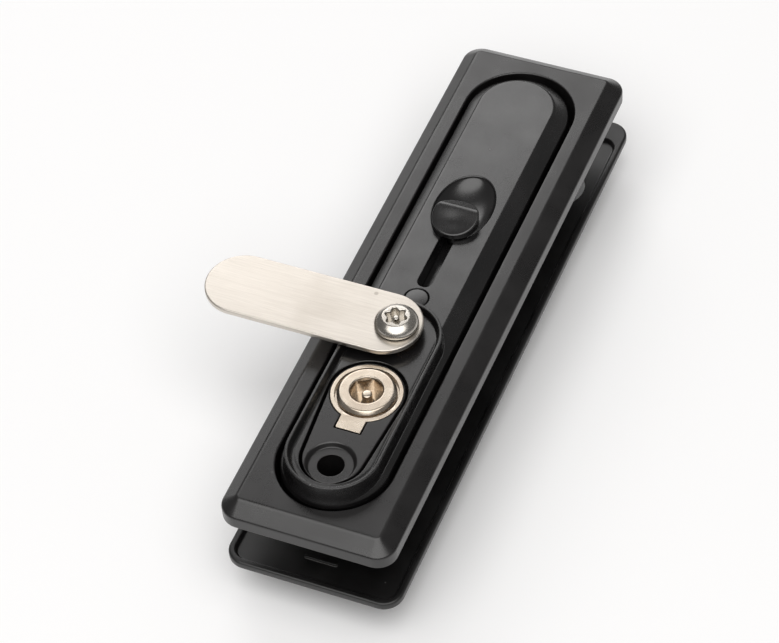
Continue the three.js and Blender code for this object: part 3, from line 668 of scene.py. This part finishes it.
def makeLever():
    l, top, under = lever, lever["top"], lever["under"]
    bevel, shoulder = l["bevel"], top - l["bevelHeight"]
    side = [(0, under, 0), (bevel, under, 0.4), (bevel, shoulder, 0.7), (0, top, 0.45), (-2, top, 0)]
    body = skin("body", carried(stadiumBox(l["half"], l["lower"], l["upper"]), eased(side, 6)))
    # The rim runs out into the bevel, and its inner foot lies just under the lever's face
    crown, foot = l["rimTop"], top - 0.01
    flare = [(-3, 5, 0), (1.2, 5, 0), (0.3, 6.9, 1.2)]
    ridge = [(0, crown, 0.16), (-0.67, crown, 0.16), (-1.3, foot, 0.3), (-3, foot, 0)]
    rimOutline = stadiumBox(l["rimHalf"], l["rimLower"], l["rimUpper"])
    rim = skin("rim", carried(rimOutline, eased(flare + ridge)))
    drop = skin("drop", carried(bossOutline(), mouth(boss["clear"], under - 3, top, 0.2)))
    wider = boss["clear"] + l["rimGap"]
    rimDrop = skin("rimDrop", carried(bossOutline(), [(wider, under - 3), (wider, top + 6)]))
    slotHalf = l["slotHalf"]
    slotOutline = roundedBox(-slotHalf, slotHalf, l["slotLower"], l["slotUpper"], slotHalf)
    slot = skin("slot", carried(slotOutline, mouth(0, 4.2, top, 0.18)))
    plugOutline = point(0, l["plugY"], 16)
    plugHole = skin("plugHole", carried(plugOutline, mouth(l["plugR"] + l["plugGap"], 6.2, top, 0.1)))
    bowl, heel = bowlCutter(), heelCutter()
    pivotY, pinZ = housing["pivotY"], l["pinZ"]
    hollows = [
        block("channel", -3.1, 3.1, -27.2, 25, 2.3, 4.7),
        block("well", -5, 5, -5, 25, 0.4, 4.6),
        block("rebate", -7.7, 7.7, -12.8, 30.3, under - 1, 0.7),
        block("keeperRelief", -3.8, 3.8, -37.8, -26.5, under - 1, 6.8),
        block("catchSeat", -3.5, 3.5, -28.2, -13.7, under - 1.1, -1.4),
        block("knuckleWell", -7.4, 7.4, pivotY - 7.7, pivotY + 8.8, under - 1.2, 1),
        skin("barrel", lying(carried(point(pivotY, pinZ, 12), [(4.6, -7.5), (4.6, 7.5)]))),
        skin("pinBore", lying(carried(point(pivotY, pinZ, 8), [(1.8, -11.3), (1.8, 16)]))),
        drill("screwHole", 0, -20.2, 1.9, 5.5, 12),
    ]
    cut(body, drop, bowl, slot, plugHole, heel, *hollows)
    cut(rim, rimDrop)
    discard(drop, rimDrop, bowl, slot, plugHole, heel, *hollows)
    fitted(joined("handleLever", body, rim), "handle_lever", finishes["leverCoat"], 34)
    low, r = l["plugFloor"], l["plugR"]
    disc = eased([(0.01, low, 0), (r, low, 0), (r, top, 0.16), (0.01, top, 0)])
    plug = skin("facePlugDisc", carried(plugOutline, disc))
    fitted(plug, "face_plug", finishes["leverCoat"])


makeLever()
print("lever made")

# Thumb slide: a round button whose sloping face rises to a straight ridge

button = {
    "y": 14.8, "r": 5.35, "under": 8.9, "low": 10.2, "ridge": 11.7, "ridgeY": 2.35, "back": 10.3,
    "crest": 0.2, "dish": 0.26, "dishY": -1.4, "edge": 0.32, "neckHalf": 1.4, "neckLength": 2.8,
}


def buttonTop(x, y):
    # The lower of two planes that meet in the ridge, blended over the crest, less a dish in the thumb face
    b, crest = button, button["crest"]
    peak = b["ridge"] + crest * 0.7
    front = b["low"] + (y + b["r"]) / (b["ridgeY"] + b["r"]) * (peak - b["low"])
    rear = peak - (y - b["ridgeY"]) / (b["r"] - b["ridgeY"]) * (b["ridge"] - b["back"])
    meet = -crest * np.log(np.exp(-front / crest) + np.exp(-rear / crest))
    return meet - b["dish"] * np.exp(-((x / 3.1) ** 2) - ((y - b["dishY"]) / 2.3) ** 2)


def makeButton():
    b, around = button, np.linspace(0, 2 * np.pi, 97)[:-1]
    ease = b["edge"] / b["r"]
    swing = np.linspace(0, math.pi / 2, 6)
    # Rows of the skin: four of the underside and wall, six of the rounded edge, and the top to its middle
    middle = np.linspace(1 - ease, 0.005, 26)[1:]
    share = np.concatenate([[0.01, 0.97, 1, 1], 1 - ease + ease * np.cos(swing), middle])
    drop = np.concatenate([[0, 0, 0, 0], b["edge"] * (1 - np.sin(swing)), np.zeros(25)])
    x = share[:, None] * b["r"] * np.cos(around)
    y = share[:, None] * b["r"] * np.sin(around)
    z = buttonTop(x, y) - drop[:, None]
    z[:4] = np.array([b["under"], b["under"], b["under"] + 0.12, b["under"] + 0.4])[:, None]
    cap = skin("cap", np.stack([x, y + b["y"], z], -1))
    half, length = b["neckHalf"], b["neckLength"]
    neckOutline = roundedBox(-half, half, b["y"] - length, b["y"] + length, half, 8)
    neck = skin("neck", carried(neckOutline, [(0, 1.2), (0, 9.4)]))
    fitted(joined("thumbSlideButton", cap, neck), "thumb_slide", finishes["leverCoat"], 45)


makeButton()
print("thumb slide made")

# Key cylinder: flanged body with a tab, the turning plug with its six-sided socket, and the centre pin

keyLock = {
    "flangeR": 8, "top": 8.6, "tabHalf": 2.9, "tabReach": 10.9, "bodyR": 6.8, "end": -8.6, "bore": 5.7,
    "headR": 6.6, "faceR": 5.95, "face": 9.5, "headEdge": 8.75, "socketR": 3.75, "mouthR": 3.75,
    "socketFloor": 5.3, "plugR": 5.4, "holeR": 1.45, "pinR": 1.15, "pinTop": 8.35,
}


def makeKeyLock():
    k, y, bodyR, end = keyLock, housing["lockY"], keyLock["bodyR"], keyLock["end"]
    ring, six = point(0, y, 24), hexagon(0, y, k["socketR"], 24)
    flangeOutline = tabbedCircle(y, k["flangeR"], k["tabHalf"], k["tabReach"], 0.25)
    slab = eased([(-0.5, 7.6, 0), (0, 7.6, 0), (0, k["top"], 0.14), (-0.2, k["top"], 0)])
    flange = skin("flange", carried(flangeOutline, slab))
    tube = eased([(5, end, 0), (bodyR, end, 0.4), (bodyR, 7.8, 0), (5, 7.8, 0)])
    barrel = skin("barrel", carried(ring, tube))
    bore = drill("bore", 0, y, k["bore"], -10, 20, 24)
    seat = skin("seat", carried(ring, mouth(k["headR"] + 0.42, 7.9, k["top"], 0.12)))
    cut(flange, bore, seat)
    cut(barrel, bore)
    discard(bore, seat)
    fitted(joined("keyCylinderBody", flange, barrel), "key_cylinder_body", finishes["nickelPlate"])
    head, face, lip, floor = k["headR"], k["face"], k["mouthR"], k["socketFloor"]
    outside = [
        (0.01, -8.5, 0), (k["plugR"], -8.5, 0.3), (k["plugR"], 8.2, 0), (head, 8.2, 0),
        (head, k["headEdge"], 0.12), (k["faceR"], face, 0.14), (k["faceR"] - 0.4, face, 0)]
    plug = skin(
        "keyPlugTurned",
        carried(ring, eased(outside)),
        carried(ring, eased([(lip + 0.3, face, 0), (lip, face, 0.12), (lip - 0.25, face - 0.5, 0)])),
        carried(six, [(0, face - 1.5), (0, floor), (-0.4, floor)]),
        carried(ring, [(k["holeR"], floor), (k["holeR"], 2.2), (0.01, 2.2)]),
    )
    square = block("square", -2.6, 2.6, y - 2.6, y + 2.6, -10.3, -8.3)
    fitted(joined("keyPlug", plug, square), "key_plug", finishes["nickelPlate"], 30)
    r, tip = k["pinR"], k["pinTop"]
    rod = eased([(0.01, 2.5, 0), (r, 2.5, 0), (r, tip, 0.4), (0.01, tip, 0)], 5)
    pin = skin("keyCentrePin", carried(ring, rod))
    fitted(pin, "key_centre_pin", finishes["nickelPlate"])


makeKeyLock()
print("key cylinder made")

# Dust cover and its pivot screw

cover = {
    "x0": -45.4, "x1": 5.74, "half": 8.5, "y": -20.2, "under": 10.5, "top": 11.8, "hole": 2.9,
    "headR": 4.9, "headUnder": 12.1, "headTop": 14.7, "headRim": 0.45, "domeSwing": 0.93,
    "shankR": 1.6, "shankEnd": 5.8, "lobeR": 2.1, "lobe": 0.34, "recessFloor": 12.7,
    "pinR": 0.7, "pinTop": 14.3,
}


def makeCover():
    c, half, y = cover, cover["half"], cover["y"]
    outline = roundedBox(c["x0"], c["x1"], y - half, y + half, half, 28)
    edge = [(-4, c["under"], 0), (0, c["under"], 0.3), (0, c["top"], 0.34), (-4, c["top"], 0)]
    sheet = skin("dustCoverBlade", carried(outline, eased(edge, 5)))
    eye = drill("eye", 0, y, c["hole"], 9, 14, 16)
    cut(sheet, eye)
    discard(eye)
    fitted(sheet, "dust_cover", finishes["brushedSheet"])


def makeCoverScrew():
    # The dome is part of an ellipse that ends in a small flat; six lobes are cut round a centre pin
    c, y, r, top = cover, cover["y"], cover["headR"], cover["headTop"]
    under, shank, rise = c["headUnder"], c["shankR"], top - c["headUnder"] - c["headRim"]
    swing = np.linspace(0, c["domeSwing"], 12)
    height = under + c["headRim"] + rise / math.sin(c["domeSwing"]) * np.sin(swing)
    dome = np.column_stack([r * np.cos(swing), height])
    end = c["shankEnd"]
    foot = [(0.01, end), (shank, end), (shank, under), (r - 0.2, under), (r, under + 0.2)]
    head = skin("head", carried(point(0, y, 24), np.vstack([foot, dome, [(0.01, top)]])))
    star = waved(0, y, lambda angle: c["lobeR"] + c["lobe"] * np.cos(6 * angle))
    lobes = skin("lobes", carried(star, mouth(0, c["recessFloor"], top, 0.42)))
    cut(head, lobes)
    discard(lobes)
    low, tip, pinR = c["recessFloor"], c["pinTop"], c["pinR"]
    rod = eased([(0.01, low, 0), (pinR, low, 0), (pinR, tip, 0.3), (0.01, tip, 0)])
    pin = skin("pin", carried(point(0, y, 10), rod))
    fitted(joined("coverPivotScrew", head, pin), "cover_pivot_screw", finishes["screwPlate"], 42)


makeCover()
makeCoverScrew()
print("dust cover made")

# Carried-over nodes

carriedFinishes = {
    "zincPlate": [
        "clamp_screw_1", "clamp_screw_2", "clamp_screw_3", "clamp_screw_4", "spindle",
        "spindle_retaining_ring", "drive_cam", "drive_cam_washer", "drive_cam_screw", "key_cylinder_nut",
        "lock_cam", "lock_cam_screw", "lift_hinge_pin", "back_cover_screw_1", "back_cover_screw_2",
        "lock_catch", "lock_catch_screw", "slide_clip",
    ],
    "leverCoat": ["slide_bar", "keeper_lip"],
    "bearingBronze": ["hub_bushing", "cover_pivot_bush"],
    "sealRubber": ["spindle_o_ring"],
    "mouldedBlack": ["handle_back_cover"],
}
for finishName, nodes in carriedFinishes.items():
    for node in nodes:
        for holder in frame["nodes"][node].material_slots:
            holder.material = finishes[finishName]
print("carried-over nodes finished")
